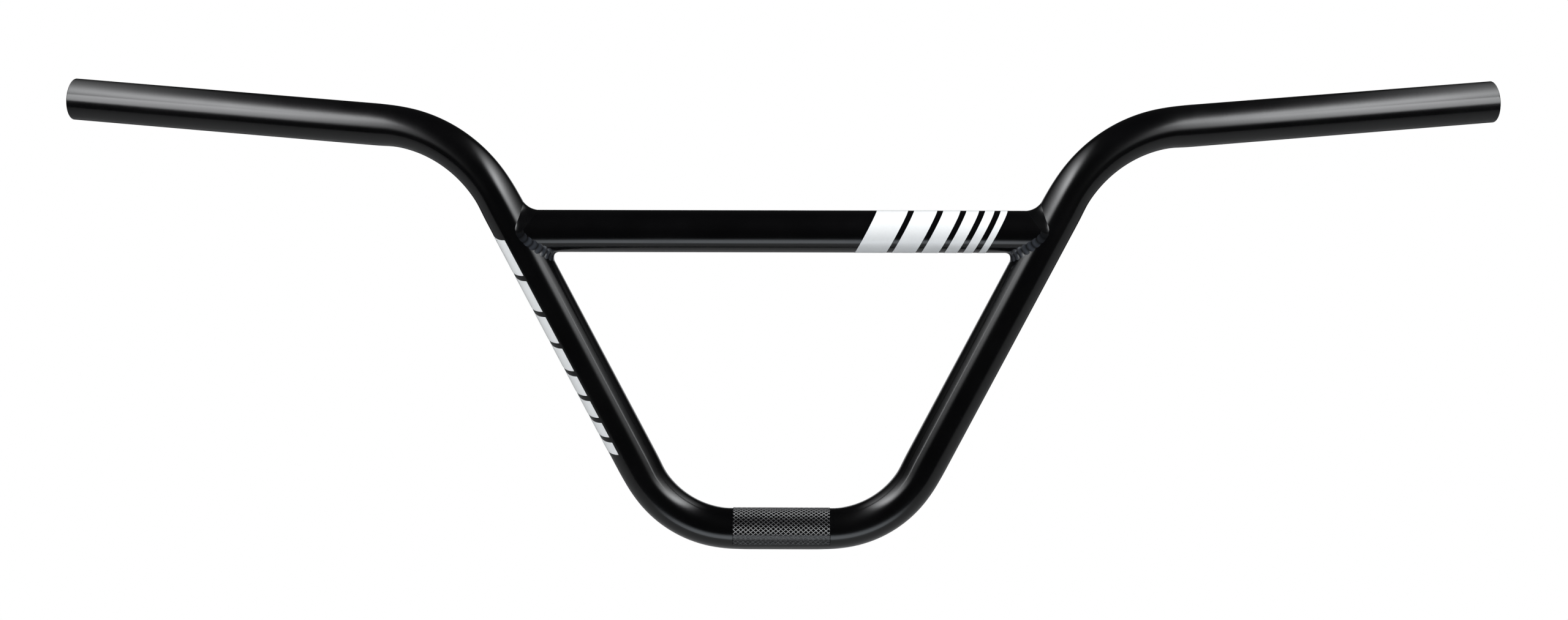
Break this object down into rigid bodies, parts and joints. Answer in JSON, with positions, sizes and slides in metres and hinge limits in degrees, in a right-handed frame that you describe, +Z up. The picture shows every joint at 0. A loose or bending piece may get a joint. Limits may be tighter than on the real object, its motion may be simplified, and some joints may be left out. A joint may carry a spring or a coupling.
{
  "type": "bmx handlebar",
  "caption": "One-piece bent steel handlebar with high rise, swept-back arms, a welded straight crossbar and a knurled zone for the stem.",
  "frame": {"origin": "on the tube's axis at the middle of the stem's clamp zone", "axes": "+X along the clamp zone's axis, towards the rider's left hand as seen from the front; +Y back towards the rider; +Z up, in the direction of the rise"},
  "size_m": [0.7668, 0.0642, 0.2481],
  "materials": {
    "gloss_black_paint": "gloss black paint on steel",
    "painted_weld": "gloss black paint over a rippled weld bead",
    "white_graphics": "white printed film under a thin clear coat"
  },
  "bodies": {
    "root": {"main_tube": "gloss_black_paint", "crossbar": "gloss_black_paint", "left_weld": "painted_weld", "right_weld": "painted_weld", "crossbar_decal": "white_graphics", "leg_decal": "white_graphics"}
  },
  "joints": []
}
